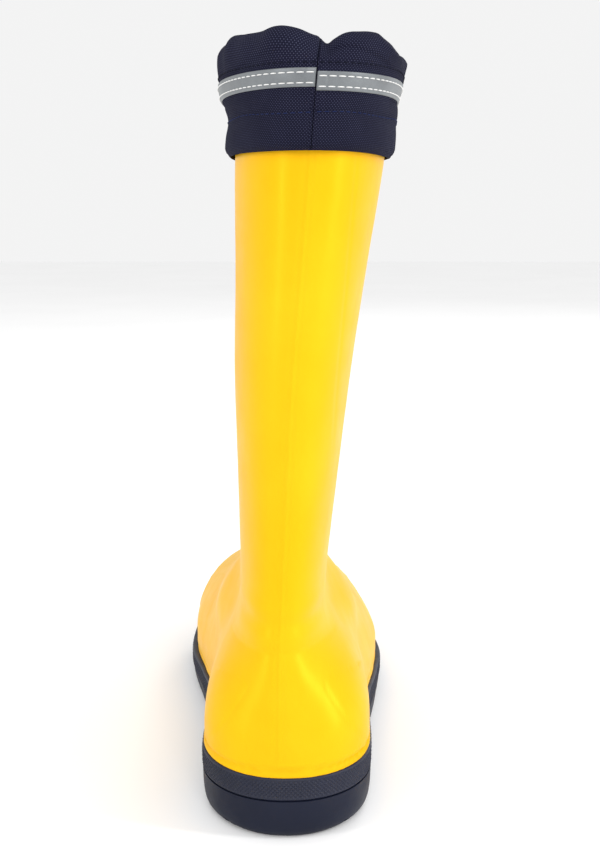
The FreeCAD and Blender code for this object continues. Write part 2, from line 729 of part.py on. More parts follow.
# ---------------------------------------------------------------- hem eyelets
rings = []
level = (sleeve_top + size("hem_top")) / 2
for side, ending in ((-1.0, "Left"), (1.0, "Right")):
    spread = size("eyelet_spread")
    across = sleeve_half(level)
    reach = across + REACH_OVER
    drop_back = reach * (1 - (spread / across) ** EDGE_POWER) ** (1 / EDGE_POWER)
    normal_x = (spread / across) ** (EDGE_POWER - 1) / across
    normal_y = (drop_back / reach) ** (EDGE_POWER - 1) / reach
    turn = math.degrees(math.atan2(side * normal_x, normal_y))
    spot = Vector(lean(level) + side * spread, (front(level) + back(level)) / 2 + drop_back, level)
    spot = spot - Vector(size("side_shift"), size("origin_shift"), 0)
    spot = spot + Vector(math.sin(math.radians(turn)), math.cos(math.radians(turn)), 0) * 0.35
    facing = Rotation(Vector(0, 0, 1), -turn).multiply(Rotation(Vector(1, 0, 0), -90))
    flange = doc.addObject("Part::Cylinder", "Flange" + ending)
    flange.setExpression("Radius", "Sizes.eyelet_radius")
    flange.setExpression("Height", "Sizes.eyelet_flange")
    flange.Placement = Placement(spot, facing)
    hole = doc.addObject("Part::Cylinder", "Hole" + ending)
    hole.setExpression("Radius", "Sizes.eyelet_hole")
    hole.setExpression("Height", "Sizes.eyelet_flange * 3")
    hole.Placement = Placement(spot - facing.multVec(Vector(0, 0, 1)), facing)
    rings.append(cut("Eyelet" + ending, flange, hole))
pair = doc.addObject("Part::Compound", "Eyelets")
pair.Links = rings
node("hem_eyelets", pair)

# ---------------------------------------------------------------- checks and export
doc.recompute()
for item in doc.Objects:
    if "Invalid" in item.State or "Error" in item.State:
        raise RuntimeError("failed object: " + item.Name)
os.makedirs("parts", exist_ok=True)
low = Vector(1e9, 1e9, 1e9)
high = Vector(-1e9, -1e9, -1e9)
for name, item in nodes.items():
    shape = item.Shape
    if shape.isNull() or not shape.isValid() or not shape.Solids:
        raise RuntimeError("bad shape: " + name)
    shape.exportStep("parts/%s.step" % name)
    box = shape.optimalBoundingBox(False, False)
    low = Vector(min(low.x, box.XMin), min(low.y, box.YMin), min(low.z, box.ZMin))
    high = Vector(max(high.x, box.XMax), max(high.y, box.YMax), max(high.z, box.ZMax))
    print("%-22s solids %d volume %9.1f" % (name, len(shape.Solids), shape.Volume))
print("box", low, high)
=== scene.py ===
# Deck boot, right foot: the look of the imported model. Lengths in the helpers are millimetres
# from the heel's back edge, as in the CAD; place() turns them into the frame's metres.
import math

import bpy
import numpy as np
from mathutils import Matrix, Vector


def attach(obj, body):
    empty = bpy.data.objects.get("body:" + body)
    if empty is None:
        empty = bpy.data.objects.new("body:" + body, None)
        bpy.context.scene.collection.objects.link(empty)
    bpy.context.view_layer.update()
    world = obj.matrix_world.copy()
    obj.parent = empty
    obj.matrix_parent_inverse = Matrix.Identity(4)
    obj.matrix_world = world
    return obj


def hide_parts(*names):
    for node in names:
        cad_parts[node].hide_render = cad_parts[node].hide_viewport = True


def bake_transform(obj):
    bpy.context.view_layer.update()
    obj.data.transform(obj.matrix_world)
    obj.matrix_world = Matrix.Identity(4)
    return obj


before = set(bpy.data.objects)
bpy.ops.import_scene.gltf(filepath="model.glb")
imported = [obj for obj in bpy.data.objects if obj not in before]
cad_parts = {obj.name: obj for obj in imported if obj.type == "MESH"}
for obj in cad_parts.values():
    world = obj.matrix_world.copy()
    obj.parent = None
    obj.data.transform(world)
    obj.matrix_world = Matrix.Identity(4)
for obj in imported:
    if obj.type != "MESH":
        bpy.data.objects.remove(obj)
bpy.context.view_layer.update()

# From the heel's back edge to the frame's origin, sideways and along the foot.
SIDE_SHIFT = 1.106
LONG_SHIFT = -146.05

# ---------------------------------------------------------------- curves over the stations
# Stations along the foot, and heights up the shaft and the gaiter.
FOOT_POS = (0.0, 48.0, 100.0, 150.0, 200.0, 250.0, 300.0)
SHAFT_POS = (40.0, 90.0, 122.0, 155.0, 202.0, 250.0, 300.0, 330.0, 380.0)
GAITER_POS = (298.0, 301.0, 308.0, 315.0, 323.0, 331.0, 340.0, 349.0)


def curve(knots, values):
    """Smooth curve through the stations, for numbers or arrays."""
    knots = np.array(knots, float)
    values = np.array(values, float)
    spans = np.diff(knots)
    rates = np.diff(values) / spans
    slopes = np.zeros(len(knots))
    slopes[0] = rates[0]
    slopes[-1] = rates[-1]
    slopes[1:-1] = (rates[:-1] * spans[1:] + rates[1:] * spans[:-1]) / (spans[:-1] + spans[1:])
    for i in range(len(spans)):
        if abs(rates[i]) < 1e-9:
            slopes[i] = slopes[i + 1] = 0.0

    def value(place):
        place = np.asarray(place, float)
        i = np.clip(np.searchsorted(knots, place) - 1, 0, len(spans) - 1)
        t = np.clip((place - knots[i]) / spans[i], 0, 1)
        low = (1 + 2 * t) * (1 - t) ** 2 * values[i] + t * (1 - t) ** 2 * spans[i] * slopes[i]
        high = t * t * (3 - 2 * t) * values[i + 1] + t * t * (t - 1) * spans[i] * slopes[i + 1]
        return low + high

    return value


medial = curve(FOOT_POS, (-36.8, -40.3, -39.6, -48.4, -58.0, -57.8, -50.0))
lateral = curve(FOOT_POS, (36.8, 40.0, 41.8, 48.8, 53.2, 45.2, 28.0))
sole_top = curve(FOOT_POS, (18.5, 18.5, 17.5, 13.0, 9.7, 10.3, 18.5))
roof = curve(FOOT_POS, (70.0, 78.0, 84.0, 86.0, 76.5, 67.0, 57.0))
belt = curve(FOOT_POS, (36.0, 36.0, 34.0, 32.0, 30.0, 31.0, 36.0))
power = curve(FOOT_POS, (2.6, 2.4, 1.7, 1.25, 1.1, 1.4, 2.0))
inset = curve(FOOT_POS, (0.9, 0.9, 1.5, 2.3, 2.8, 2.8, 2.4))
band = curve(FOOT_POS, (11.0, 11.0, 10.4, 9.6, 9.0, 9.0, 9.0))
half = curve(SHAFT_POS, (19.0, 19.8, 21.3, 23.6, 27.1, 30.3, 34.2, 35.2, 36.5))
lean = curve(SHAFT_POS, (-3.4, -2.6, -1.2, 0.35, 2.6, 6.5, 10.4, 12.7, 16.7))
back = curve(SHAFT_POS, (6.0, 9.5, 10.0, 8.0, 5.0, 3.0, 1.5, 1.0, 0.5))
front = curve(SHAFT_POS, (126.0, 126.0, 128.0, 132.0, 139.5, 147.0, 154.0, 156.5, 159.0))
sleeve_half = curve(GAITER_POS, (37.9, 38.5, 38.9, 38.5, 40.4, 42.4, 43.3, 41.6))

# The foot: its length, its rounded ends and how far the upper stands inside the sole's edge.
LENGTH = 300.0
HEEL_CAP = 42.0
TOE_CAP = 66.0
HEEL_POWER = 2.3
TOE_POWER = 2.5
HEEL_INSET = 0.9
TOE_INSET = 2.4
TRAY = 2.5
OVAL = 2.15

# The shaft: its rim, its middle along the foot, and where its form fades out below the ankle.
RIM = 330.0
SHAFT_MIDDLE = 78.0
SHAFT_FOOT = 70.0
SHAFT_FADE = 45.0

# The walls, as depths inside the outer face.
UPPER_WALL = 2.2
LINING_BACK = 2.3
LINING_FACE = 4.05

# The gaiter: how much deeper than wide it is, and its heights.
REACH_OVER = 43.4
SLEEVE_FOOT = 303.4
SLEEVE_TOP = 335.0
TAPE_LOW = 323.55
TAPE_HIGH = 330.85
LOW_STITCH = TAPE_LOW + 1.5
HIGH_STITCH = TAPE_HIGH - 1.8
HEM_STITCH = 333.6
EYELET_HEIGHT = 340.0
TUCK = 314.8
UNDER_TOP = 329.4
UNDER_LOW = 301.5

# The footbed's cover, above the sole's top and inside its edge.
FOOTBED_TOP = 14.2
FOOTBED_INSET = 9.45


def place(points):
    """Millimetres from the heel's edge to metres in the frame."""
    points = np.asarray(points, float).copy()
    points[..., 0] += SIDE_SHIFT
    points[..., 1] += LONG_SHIFT
    return points / 1000.0


def smooth(low, high, value):
    """Soft step from 0 at low to 1 at high."""
    t = np.clip((np.asarray(value, float) - low) / (high - low), 0, 1)
    return t * t * (3 - 2 * t)


def bell(value, middle, width):
    """Soft ridge of height 1."""
    return np.exp(-(((np.asarray(value, float) - middle) / width) ** 2))


# ---------------------------------------------------------------- the boot's surface
# A form's depth is its function's value over its slope, held within these limits.
LEAST_SLOPE = 0.004
MOST_DEPTH = 60.0


def depth_from(total, slope):
    """Depth inside a form whose function is 1 on its surface."""
    return np.clip((1 - total) / np.maximum(slope, LEAST_SLOPE), -MOST_DEPTH, MOST_DEPTH)


def foot_depth(x, y, z):
    """Depth inside the foot form."""
    high_end = LENGTH - TOE_INSET
    heel = np.maximum(0, (HEEL_INSET + HEEL_CAP - y) / HEEL_CAP)
    toe = np.maximum(0, (y - high_end + TOE_CAP) / TOE_CAP)
    wide = (lateral(y) - medial(y)) / 2 - inset(y)
    waist = belt(y)
    above = z > waist
    tall = np.where(above, roof(y) - waist, waist - sole_top(y) - TRAY)
    bend = np.where(above, power(y), 5.0)
    v = np.abs(z - waist) / tall
    shift = np.where(above, 3.0 * np.minimum(v, 1.0) * np.clip((y - 60) / 60, 0, 1), 0.0)
    v = np.sqrt(v * v + 0.01) - 0.1
    middle = (lateral(y) + medial(y)) / 2 - shift
    u = np.abs(x - middle) / wide
    total = u**OVAL + v**bend + heel**HEEL_POWER + toe**TOE_POWER
    slope_x = OVAL * u ** (OVAL - 1) / wide
    slope_z = np.where(v > 1e-6, bend * np.maximum(v, 1e-6) ** (bend - 1) / tall, 0.0)
    slope_y = HEEL_POWER * heel ** (HEEL_POWER - 1) / HEEL_CAP
    slope_y = slope_y + TOE_POWER * toe ** (TOE_POWER - 1) / TOE_CAP
    return depth_from(total, np.sqrt(slope_x**2 + slope_y**2 + slope_z**2))


def shaft_depth(x, y, z):
    """Depth inside the shaft form."""
    reach = (front(z) - back(z)) / 2
    below = np.maximum(0, (SHAFT_FOOT - z) / SHAFT_FADE)
    u = np.abs(x - lean(z)) / half(z)
    w = np.abs(y - (front(z) + back(z)) / 2) / reach
    total = u**OVAL + w**OVAL + below**2
    slope_x = OVAL * u ** (OVAL - 1) / half(z)
    slope_y = OVAL * w ** (OVAL - 1) / reach
    slope_z = 2 * below / SHAFT_FADE
    return depth_from(total, np.sqrt(slope_x**2 + slope_y**2 + slope_z**2))


def depth(x, y, z):
    """Depth inside the whole boot, with the corner between foot and shaft filled."""
    foot = foot_depth(x, y, z)
    shaft = shaft_depth(x, y, z)
    corner = 2.0 + (16.0 + 26.0 * smooth(70, 130, y)) * smooth(40, 75, z)
    near = np.maximum(corner - np.abs(foot - shaft), 0) / corner
    return np.maximum(foot, shaft) + near * near * corner / 4


# The rings turn from the foot to the shaft like a fan, about this point over the instep.
FAN_Y = 152.0
FAN_Z = 116.0


def ring_grid(wall, toe_rings, fan_rings, shaft_rings, around, top, crowd=0.0):
    """Rings of points on the boot's surface at the given depth, toe first, shaft last.

    crowd sets the points closer together at the heel and back of the shaft.
    """
    centre, along, stretch = [], [], []
    tip = LENGTH - TOE_INSET - wall * 1.1
    for step in range(toe_rings):
        s = (0.15 + step) / (toe_rings + 0.15)
        y = tip - (1 - math.cos(s * math.pi / 2)) * (tip - FAN_Y)
        centre.append((y, 37.0 + 3.0 * min(1.0, s * 2)))
        along.append((0.0, 1.0))
        stretch.append(1.3)
    for step in range(fan_rings):
        share = step / fan_rings
        angle = math.pi / 2 * share
        radius = 76.0 - 4.0 * share
        centre.append((FAN_Y - radius * math.sin(angle), FAN_Z - radius * math.cos(angle)))
        along.append((math.sin(angle), math.cos(angle)))
        stretch.append(1.3 - 0.7 * share)
    for step in range(shaft_rings):
        z = FAN_Z + (top - FAN_Z) * step / (shaft_rings - 1)
        centre.append((float(front(z) + back(z)) / 2, z))
        along.append((1.0, 0.0))
        stretch.append(0.6)
    centre = np.array(centre)
    along = np.array(along)
    share = np.arange(around) / around
    angle = 2 * math.pi * share - crowd * np.sin(2 * math.pi * share) - math.pi / 2
    side = np.array(stretch)[:, None] * np.cos(angle)
    rise = np.sin(angle)[None, :] * np.ones_like(side)
    length = np.hypot(side, rise)
    side, rise = side / length, rise / length
    level = along[:, 0] ** 2
    foot_middle = (medial(centre[:, 0]) + lateral(centre[:, 0])) / 2
    middle_x = level * lean(np.maximum(centre[:, 1], 60)) + (1 - level) * foot_middle

    def at(distance):
        x = middle_x[:, None] + side * distance
        y = centre[:, :1] + rise * along[:, :1] * distance
        z = centre[:, 1:] + rise * along[:, 1:] * distance
        return x, y, z

    near = np.zeros_like(side)
    far = np.full_like(side, 2.0)
    open_rays = np.ones_like(side, bool)
    for _ in range(34):
        hit = depth(*at(far)) < wall
        open_rays &= ~hit
        if not open_rays.any():
            break
        near[open_rays] = far[open_rays]
        far[open_rays] += 5.0
    for _ in range(18):
        middle = (near + far) / 2
        within = depth(*at(middle)) > wall
        near = np.where(within, middle, near)
        far = np.where(within, far, middle)
    return np.stack(at(near), axis=-1)


# ---------------------------------------------------------------- mesh helpers
def grid_normals(grid):
    """Outward normals of a grid whose second axis closes on itself."""
    along = np.gradient(grid, axis=0)
    around = np.roll(grid, -1, axis=1) - np.roll(grid, 1, axis=1)
    normal = np.cross(around, along)
    normal /= np.maximum(np.linalg.norm(normal, axis=2, keepdims=True), 1e-9)
    return normal


def grid_faces(rows, cols, closed=True, flip=False):
    """Quads of a grid."""
    i = np.arange(rows - 1)[:, None]
    j = np.arange(cols if closed else cols - 1)[None, :]
    a = i * cols + j
    b = i * cols + (j + 1) % cols
    quads = np.stack([a, b, b + cols, a + cols], axis=-1).reshape(-1, 4)
    return quads[:, ::-1] if flip else quads


def make_object(name, points, faces, uv=None):
    """Mesh object from points in millimetres. uv holds one (u, v) pair in metres for each corner."""
    mesh = bpy.data.meshes.new(name)
    mesh.from_pydata(place(points).tolist(), [], [list(map(int, face)) for face in faces])
    if uv is not None:
        layer = mesh.uv_layers.new(name="cloth")
        layer.data.foreach_set("uv", np.asarray(uv, float).reshape(-1))
    mesh.polygons.foreach_set("use_smooth", [True] * len(mesh.polygons))
    mesh.update()
    obj = bpy.data.objects.new(name, mesh)
    bpy.context.scene.collection.objects.link(obj)
    return obj


def grid_object(name, grid, flip=False, girth=None, shares=None, start=0.0, end_cap=False):
    """Tube from a grid, with its first ring closed if end_cap is set.

    girth is the cloth map's length around and start its first height, in metres.
    """
    rows, cols = grid.shape[:2]
    faces = grid_faces(rows, cols, True, flip)
    uv = None
    if girth is not None:
        shares = np.arange(cols) / cols if shares is None else shares
        shares = np.append(shares, 1.0) * girth
        step = np.linalg.norm(np.diff(grid, axis=0), axis=2).mean(1) / 1000.0
        run = start + np.concatenate([[0.0], np.cumsum(step)])
        i = np.repeat(np.arange(rows - 1), cols)
        j = np.tile(np.arange(cols), rows - 1)
        u0, u1 = shares[j], shares[j + 1]
        v0, v1 = run[i], run[i + 1]
        corners = np.stack([np.stack([u0, v0], 1), np.stack([u1, v0], 1),
                            np.stack([u1, v1], 1), np.stack([u0, v1], 1)], 1)
        if flip:
            corners = corners[:, ::-1]
        uv = corners
    faces = list(faces)
    if end_cap:
        faces.append(np.arange(cols)[::-1])
    return make_object(name, grid.reshape(-1, 3), faces, uv)


def tube_faces(start, rings, sides):
    """Side faces of a small tube, whose rings of points follow each other from start."""
    faces = []
    for k in range(rings - 1):
        for j in range(sides):
            a = start + k * sides + j
            b = start + k * sides + (j + 1) % sides
            faces.append((a, b, b + sides, a + sides))
    return faces


def waves(points, size, seed, count=5):
    """Smooth seeded unevenness from a few sine waves, about -1 to 1."""
    rng = np.random.default_rng(seed)
    total = np.zeros(points.shape[:-1])
    for _ in range(count):
        way = rng.normal(size=3)
        way /= np.linalg.norm(way)
        length = size * rng.uniform(0.7, 1.5)
        total += np.sin(points @ way * 2 * math.pi / length + rng.uniform(0, 6.3))
    return total / math.sqrt(count) * 0.7


# ---------------------------------------------------------------- material helpers
def material(name, build):
    """New node material; build gets the node tree, a node maker and the shader."""
    mat = bpy.data.materials.new(name)
    mat.use_nodes = True
    tree = mat.node_tree
    tree.nodes.clear()
    output = tree.nodes.new("ShaderNodeOutputMaterial")
    shader = tree.nodes.new("ShaderNodeBsdfPrincipled")
    tree.links.new(shader.outputs[0], output.inputs[0])

    def node(kind, **values):
        made = tree.nodes.new("ShaderNode" + kind)
        for key, value in values.items():
            if key in made.inputs.keys():
                made.inputs[key].default_value = value
            else:
                setattr(made, key, value)
        return made

    build(tree, node, shader)
    return mat


def join(tree, source, target):
    """Link two sockets."""
    tree.links.new(source, target)


def noise_at(tree, node, coords, scale, detail=3.0, rough=0.55):
    """Noise texture on given coordinates."""
    made = node("TexNoise", Scale=scale, Detail=detail, Roughness=rough)
    join(tree, coords, made.inputs["Vector"])
    return made.outputs["Fac"]


def ramp(tree, node, source, stops):
    """Colour ramp with (place, colour) stops."""
    made = node("ValToRGB")
    elements = made.color_ramp.elements
    while len(elements) < len(stops):
        elements.new(0.5)
    for element, (position, colour) in zip(elements, stops):
        element.position = position
        element.color = (*colour, 1.0)
    join(tree, source, made.inputs[0])
    return made.outputs[0]


def bump(tree, node, height, strength, distance, before=None):
    """Bump from a height socket."""
    made = node("Bump", Strength=strength, Distance=distance)
    join(tree, height, made.inputs["Height"])
    if before is not None:
        join(tree, before, made.inputs["Normal"])
    return made.outputs[0]


def math_node(tree, node, operation, first, second=None):
    """Math node on sockets or numbers."""
    made = node("Math")
    made.operation = operation
    for slot, value in ((0, first), (1, second)):
        if value is None:
            continue
        if isinstance(value, (int, float)):
            made.inputs[slot].default_value = value
        else:
            join(tree, value, made.inputs[slot])
    return made.outputs[0]


def rubber(low, high, rough_low, rough_high, grain, shine=0.5, sub=0.0, satin=0.0):
    """Moulded rubber: slight mottling, fine grain and uneven gloss."""

    def build(tree, node, shader):
        coords = node("TexCoord").outputs["Object"]
        broad = noise_at(tree, node, coords, 18.0, 4.0)
        join(tree, ramp(tree, node, broad, [(0.3, low), (0.7, high)]), shader.inputs["Base Color"])
        gloss = noise_at(tree, node, coords, 60.0, 5.0, 0.65)
        spread = node("MapRange")
        join(tree, gloss, spread.inputs["Value"])
        limits = (("From Min", 0.3), ("From Max", 0.7), ("To Min", rough_low), ("To Max", rough_high))
        for key, value in limits:
            spread.inputs[key].default_value = value
        join(tree, spread.outputs["Result"], shader.inputs["Roughness"])
        fine = noise_at(tree, node, coords, 900.0, 2.0)
        soft = noise_at(tree, node, coords, 140.0, 2.0)
        first = bump(tree, node, soft, 0.12 * grain, 0.0006)
        join(tree, bump(tree, node, fine, 0.10 * grain, 0.0003, first), shader.inputs["Normal"])
        shader.inputs["Specular IOR Level"].default_value = shine
        shader.inputs["Metallic"].default_value = satin
        if sub:
            shader.inputs["Subsurface Weight"].default_value = sub
            shader.inputs["Subsurface Radius"].default_value = (0.006, 0.0025, 0.0005)
            shader.inputs["Subsurface Scale"].default_value = 0.6

    return build


def weave(low, high, speck, pitch, thread_depth, rough=0.85, sheen=0.15, shine=0.3):
    """Plain-weave cloth on the cloth map: crossing threads a pitch apart, in metres."""

    def build(tree, node, shader):
        coords = node("UVMap")
        coords.uv_map = "cloth"
        wobble = noise_at(tree, node, coords.outputs[0], 60.0, 2.0)
        split = node("SeparateXYZ")
        join(tree, coords.outputs[0], split.inputs[0])
        drift = math_node(tree, node, "MULTIPLY", wobble, 0.5)
        turn = math.pi / pitch
        across = math_node(tree, node, "MULTIPLY", split.outputs[0], turn)
        across = math_node(tree, node, "ADD", across, drift)
        along = math_node(tree, node, "MULTIPLY", split.outputs[1], turn)
        along = math_node(tree, node, "ADD", along, drift)
        sine_across = math_node(tree, node, "SINE", across)
        sine_along = math_node(tree, node, "SINE", along)
        check = math_node(tree, node, "MULTIPLY", sine_across, sine_along)
        over = math_node(tree, node, "GREATER_THAN", check, 0.0)
        size_across = math_node(tree, node, "ABSOLUTE", sine_across)
        size_along = math_node(tree, node, "ABSOLUTE", sine_along)
        cell = math_node(tree, node, "MULTIPLY", size_across, size_along)
        cell = math_node(tree, node, "POWER", cell, 0.6)
        lift = math_node(tree, node, "ADD", math_node(tree, node, "MULTIPLY", over, 0.45), 0.55)
        height = math_node(tree, node, "MULTIPLY", cell, lift)
        broad = noise_at(tree, node, coords.outputs[0], 25.0, 3.0)
        mix = math_node(tree, node, "ADD", math_node(tree, node, "MULTIPLY", height, 0.75),
                        math_node(tree, node, "MULTIPLY", broad, 0.35))
        colour = ramp(tree, node, mix, [(0.12, low), (0.62, high), (0.98, speck)])
        join(tree, colour, shader.inputs["Base Color"])
        shader.inputs["Roughness"].default_value = rough
        shader.inputs["Sheen Weight"].default_value = sheen
        shader.inputs["Sheen Roughness"].default_value = 0.5
        shader.inputs["Specular IOR Level"].default_value = shine
        join(tree, bump(tree, node, height, 0.9, thread_depth), shader.inputs["Normal"])

    return build


YELLOW = material("yellow_rubber_look", rubber((0.82, 0.430, 0.005), (0.82, 0.465, 0.008), 0.29, 0.39,
                                               grain=0.7, shine=0.035, sub=0.05, satin=0.095))
NAVY = material("navy_rubber_look", rubber((0.006, 0.008, 0.019), (0.010, 0.013, 0.029), 0.42, 0.62,
                                           grain=1.6, shine=0.16))
KNURL = material("knurled_rubber_look", rubber((0.009, 0.011, 0.024), (0.014, 0.017, 0.037), 0.40, 0.58,
                                               grain=1.2, shine=0.30))
CLOTH = material("navy_cloth_look", weave((0.0025, 0.0025, 0.008), (0.013, 0.0135, 0.031),
                                          (0.060, 0.063, 0.105), pitch=0.0007, thread_depth=0.0002,
                                          rough=0.9, sheen=0.0, shine=0.06))
LINING = material("lining_look", weave((0.16, 0.16, 0.15), (0.36, 0.36, 0.34), (0.5, 0.5, 0.48),
                                       pitch=0.0012, thread_depth=0.0002))
FOOTBED = material("footbed_look", weave((0.01, 0.012, 0.03), (0.03, 0.035, 0.06), (0.12, 0.13, 0.17),
                                         pitch=0.0016, thread_depth=0.0003))
BINDING = material("binding_look", weave((0.008, 0.008, 0.016), (0.02, 0.02, 0.035), (0.06, 0.06, 0.09),
                                         pitch=0.0007, thread_depth=0.0001))


def tape_look(tree, node, shader):
    """Retro-reflective tape: grey with a very fine bead grain and scuffs."""
    coords = node("TexCoord").outputs["Object"]
    beads = node("TexVoronoi", Scale=2600.0)
    join(tree, coords, beads.inputs["Vector"])
    broad = noise_at(tree, node, coords, 70.0, 4.0, 0.6)
    mix = math_node(tree, node, "ADD", math_node(tree, node, "MULTIPLY", beads.outputs["Distance"], 0.25),
                    math_node(tree, node, "MULTIPLY", broad, 0.75))
    colour = ramp(tree, node, mix, [(0.25, (0.125, 0.135, 0.145)), (0.75, (0.195, 0.21, 0.22))])
    join(tree, colour, shader.inputs["Base Color"])
    shader.inputs["Metallic"].default_value = 0.25
    shader.inputs["Roughness"].default_value = 0.42
    join(tree, bump(tree, node, beads.outputs["Distance"], 0.3, 0.0001), shader.inputs["Normal"])


def thread_look(low, high):
    """Twisted sewing thread."""

    def build(tree, node, shader):
        coords = node("TexCoord").outputs["Object"]
        twist = node("TexWave", Scale=900.0, Distortion=1.5)
        join(tree, coords, twist.inputs["Vector"])
        colour = ramp(tree, node, twist.outputs["Fac"], [(0.1, low), (0.8, high)])
        join(tree, colour, shader.inputs["Base Color"])
        shader.inputs["Roughness"].default_value = 0.8
        shader.inputs["Specular IOR Level"].default_value = 0.12
        join(tree, bump(tree, node, twist.outputs["Fac"], 0.5, 0.0001), shader.inputs["Normal"])

    return build


TAPE = material("tape_look", tape_look)
WHITE = material("white_thread_look", thread_look((0.55, 0.55, 0.54), (0.86, 0.86, 0.85)))
BLUE = material("blue_thread_look", thread_look((0.006, 0.010, 0.045), (0.015, 0.026, 0.095)))
DARK = material("dark_thread_look", thread_look((0.003, 0.0035, 0.010), (0.007, 0.008, 0.020)))


def plain_look(low, high, scale, rough, grain):
    """Mottled matte surface for pieces inside the boot."""

    def build(tree, node, shader):
        coords = node("TexCoord").outputs["Object"]
        fleck = noise_at(tree, node, coords, scale, 5.0, 0.7)
        join(tree, ramp(tree, node, fleck, [(0.3, low), (0.7, high)]), shader.inputs["Base Color"])
        shader.inputs["Roughness"].default_value = rough
        join(tree, bump(tree, node, fleck, grain, 0.0004), shader.inputs["Normal"])

    return build


BOARD = material("board_look", plain_look((0.22, 0.16, 0.10), (0.38, 0.30, 0.20), 260.0, 0.9, 0.5))
STIFF = material("stiffener_look", plain_look((0.55, 0.52, 0.45), (0.68, 0.65, 0.58), 180.0, 0.7, 0.3))
FOAM = material("foam_look", plain_look((0.012, 0.013, 0.02), (0.04, 0.042, 0.055), 700.0, 0.95, 0.8))
METAL = material("eyelet_look", plain_look((0.10, 0.10, 0.105), (0.17, 0.17, 0.175), 240.0, 0.35, 0.15))
METAL.node_tree.nodes["Principled BSDF"].inputs["Metallic"].default_value = 0.9


def dress(obj, mat):
    """Give a new piece its material."""
    obj.data.materials.clear()
    obj.data.materials.append(mat)


def dress_node(name, mat):
    """Give a CAD node a better material."""
    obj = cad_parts[name]
    for slot in obj.material_slots:
        slot.material = mat


# ---------------------------------------------------------------- yellow upper
def upper_relief(points):
    """Moulded detail on the upper's outer face, in millimetres outwards."""
    x, y, z = points[..., 0], points[..., 1], points[..., 2]
    middle = (medial(y) + lateral(y)) / 2
    # lip over the sole wall, with the groove above it
    edge = sole_top(y) + band(y)
    rise = 0.55 * bell(z, edge + 1.1, 0.9) - 1.05 * bell(z, edge + 3.0, 0.75)
    rise += 0.15 * bell(z, edge + 4.8, 1.0)
    # mould lines up the back, beside it on the shaft, and up the front
    centre = lean(np.maximum(z, 60))
    seam = 0.26 * bell(x, centre, 0.5) - 0.14 * bell(x, centre + 1.5, 0.7)
    seam -= 0.10 * bell(x, centre - 1.5, 0.7)
    rise += seam * smooth(60, 40, y) * smooth(34, 38, z)
    rise -= 0.16 * bell(x, centre + 19.5, 0.7) * smooth(70, 50, y) * smooth(150, 200, z)
    rise += 0.24 * bell(x, lean(np.maximum(z, 90)), 0.7) * smooth(100, 118, y) * smooth(112, 124, z)
    # ripples across the back of the ankle and the line over the heel
    ripples = 0.55 * bell(z, 103, 4.4) - 0.30 * bell(z, 96.0, 3.2)
    ripples += 0.55 * bell(z, 90.0, 4.0) - 0.24 * bell(z, 83.0, 2.6)
    rise += smooth(62, 26, y) * ripples
    rise -= 0.22 * bell(z, 84.0 - 0.004 * (x - middle) ** 2, 0.7) * smooth(70, 40, y)
    # contour on the heel, with slanted sides, a top edge and rounded corners
    side = np.abs(x - middle)
    slant = 17.5 + 0.62 * np.maximum(66.5 - z, 0)
    gap_side, gap_top = slant - side, z - 72.5 + 0.22 * np.maximum(y - 8.0, 0)
    corner = np.hypot(np.maximum(gap_side + 5.0, 0), np.maximum(gap_top + 5.0, 0)) - 5.0
    outside = np.where((gap_side > -5) & (gap_top > -5), corner, np.maximum(gap_side, gap_top))
    fade = smooth(72, 54, y) * smooth(33, 38, z)
    rise += 0.08 * smooth(1.2, -1.2, outside) * fade
    rise -= 0.26 * bell(outside, 0.3, 0.5) * fade
    # two ribs on each side of the vamp
    wing = smooth(140, 165, y) * smooth(256, 236, y) * smooth(10, 20, side)
    for first, drop, bow in ((79.0, 0.26, 4.0), (71.0, 0.24, 5.0)):
        line = first - drop * (y - 150.0) + bow * np.sin(np.clip((y - 130) / 115, 0, 1) * math.pi)
        rise += 0.28 * bell(z, line, 0.9) * wing
    # raised toe cap, and the unevenness of moulded rubber
    cap = smooth(246, 250, y + 0.006 * (x - middle) ** 2) * smooth(26, 34, z)
    rise += 0.45 * cap
    rise += 0.14 * waves(points, 70.0, 3) + 0.06 * waves(points, 24.0, 4)
    return rise


def soften(grid, rounds):
    """Ease the grid around the ankle, where the foot and shaft forms meet."""
    y, z = grid[..., 1], grid[..., 2]
    share = 0.5 * smooth(36, 58, z) * smooth(170, 140, z) * smooth(190, 150, y)
    share = share[..., None]
    for _ in range(rounds):
        around = (np.roll(grid, 1, 1) + np.roll(grid, -1, 1)) / 2
        along = grid.copy()
        along[1:-1] = (grid[:-2] + grid[2:]) / 2
        grid = grid + share * ((around + along) / 2 - grid)
    return grid


def build_upper():
    """Yellow one-piece upper with its rim."""
    toe, fan, tall, around = ((60, 190, 90, 284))
    rounds = 80
    crowd = 0.45
    grid = soften(ring_grid(0.0, toe, fan, tall, around, RIM, crowd), rounds)
    grid = grid + grid_normals(grid) * upper_relief(grid)[..., None]
    inner = ring_grid(UPPER_WALL, 2, 2, 12, around, RIM, crowd)[-8:][::-1]
    obj = grid_object("boot_shell_look", np.concatenate([grid, inner]), end_cap=True)
    dress(obj, YELLOW)
    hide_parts("boot_shell")
    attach(obj, "boot")


build_upper()


